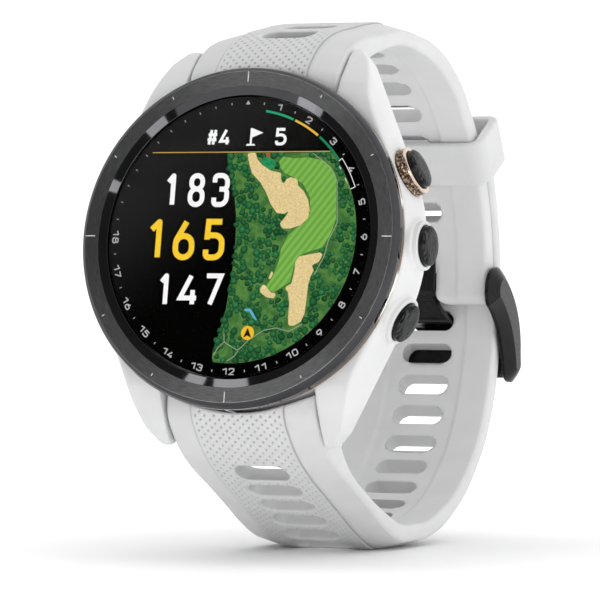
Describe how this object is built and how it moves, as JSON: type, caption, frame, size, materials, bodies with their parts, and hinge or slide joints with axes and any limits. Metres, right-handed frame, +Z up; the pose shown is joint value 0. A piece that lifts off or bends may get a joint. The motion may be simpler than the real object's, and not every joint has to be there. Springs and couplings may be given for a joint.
{
  "type": "golf gps watch",
  "caption": "Round sports watch with a touch display, side push buttons and a slotted silicone strap closed on its buckle.",
  "frame": {"origin": "middle of the surface that the watch stands on, below the middle of its outer box", "axes": "+X towards the dial's 3 o'clock, +Y from the dial to the buckle, +Z up"},
  "size_m": [0.0444, 0.0708, 0.0664],
  "materials": {
    "bezel_metal": "brushed dark grey with polished inner chamfer",
    "lens": "polished",
    "seal_rubber": "matte",
    "rose_gold": "satin rose gold plating",
    "display": "gloss",
    "white_polymer": "fine satin moulding",
    "dark_polymer": "matte",
    "circuit_board": "solder mask",
    "battery_cell": "foil pouch",
    "steel": "plain",
    "gold_contact": "gold plated",
    "white_silicone": "matte, with a fine textured middle band",
    "black_metal": "satin black coating"
  },
  "bodies": {
    "watch": {"bezel_ring": "bezel_metal", "lens_glass": "lens", "lens_seal": "seal_rubber", "accent_ring": "rose_gold", "display_panel": "display", "mid_case": "white_polymer", "inner_frame": "dark_polymer", "main_board": "circuit_board", "battery": "battery_cell", "vibration_motor": "steel", "sensor_module": "circuit_board", "start_switch": "steel", "menu_switch": "steel", "back_switch": "steel", "back_cover": "white_polymer", "back_gasket": "seal_rubber", "sensor_window": "lens", "charging_block": "dark_polymer", "charging_contact_1": "gold_contact", "charging_contact_2": "gold_contact", "charging_contact_3": "gold_contact", "charging_contact_4": "gold_contact", "case_screw_1": "steel", "case_screw_2": "steel", "case_screw_3": "steel", "case_screw_4": "steel", "start_button_seal": "seal_rubber", "start_button_collar": "rose_gold", "menu_button_seal": "seal_rubber", "back_button_seal": "seal_rubber", "lower_strap": "white_silicone", "upper_strap": "white_silicone", "upper_pin_tube": "steel", "lower_pin_tube": "steel", "buckle_spring_bar": "steel"},
    "start_button": {"start_button": "black_metal", "start_button_clip": "steel"},
    "menu_button": {"menu_button": "black_metal", "menu_button_clip": "steel"},
    "back_button": {"back_button": "black_metal", "back_button_clip": "steel"},
    "upper_release": {"upper_release_plunger": "steel"},
    "lower_release": {"lower_release_plunger": "steel"},
    "keeper": {"keeper_loop": "white_silicone"},
    "buckle": {"buckle_frame": "black_metal"},
    "tongue": {"buckle_tongue": "black_metal"}
  },
  "joints": [
    {"name": "start_button_press", "type": "slide", "parent": "watch", "child": "start_button", "axis": [-0.91, -0.074, -0.408], "range_m": [0, 0.0006], "stiffness_N_per_m": 1500},
    {"name": "menu_button_press", "type": "slide", "parent": "watch", "child": "menu_button", "axis": [-1, 0.0003, 0.0017], "range_m": [0, 0.0006], "stiffness_N_per_m": 1500},
    {"name": "back_button_press", "type": "slide", "parent": "watch", "child": "back_button", "axis": [-0.9063, 0.0754, 0.4158], "range_m": [0, 0.0006], "stiffness_N_per_m": 1500},
    {"name": "upper_release_slide", "type": "slide", "parent": "watch", "child": "upper_release", "axis": [-1, 0, 0], "range_m": [0, 0.0015], "stiffness_N_per_m": 500},
    {"name": "lower_release_slide", "type": "slide", "parent": "watch", "child": "lower_release", "axis": [-1, 0, 0], "range_m": [0, 0.0015], "stiffness_N_per_m": 500},
    {"name": "keeper_slide", "type": "hinge", "parent": "watch", "child": "keeper", "pos_m": [-0.00086, -0.00339, 0.0345], "axis": [1, 0, 0], "range_deg": [-19, 8]},
    {"name": "buckle_hinge", "type": "hinge", "parent": "watch", "child": "buckle", "pos_m": [-0.00086, 0.02761, 0.0321], "axis": [1, 0, 0], "range_deg": [0, 8]},
    {"name": "tongue_hinge", "type": "hinge", "parent": "watch", "child": "tongue", "pos_m": [-0.00086, 0.02761, 0.0321], "axis": [1, 0, 0], "range_deg": [0, 8]}
  ],
  "couplings": [
    {"joint": "tongue_hinge", "follows": "buckle_hinge", "ratio": 1}
  ]
}
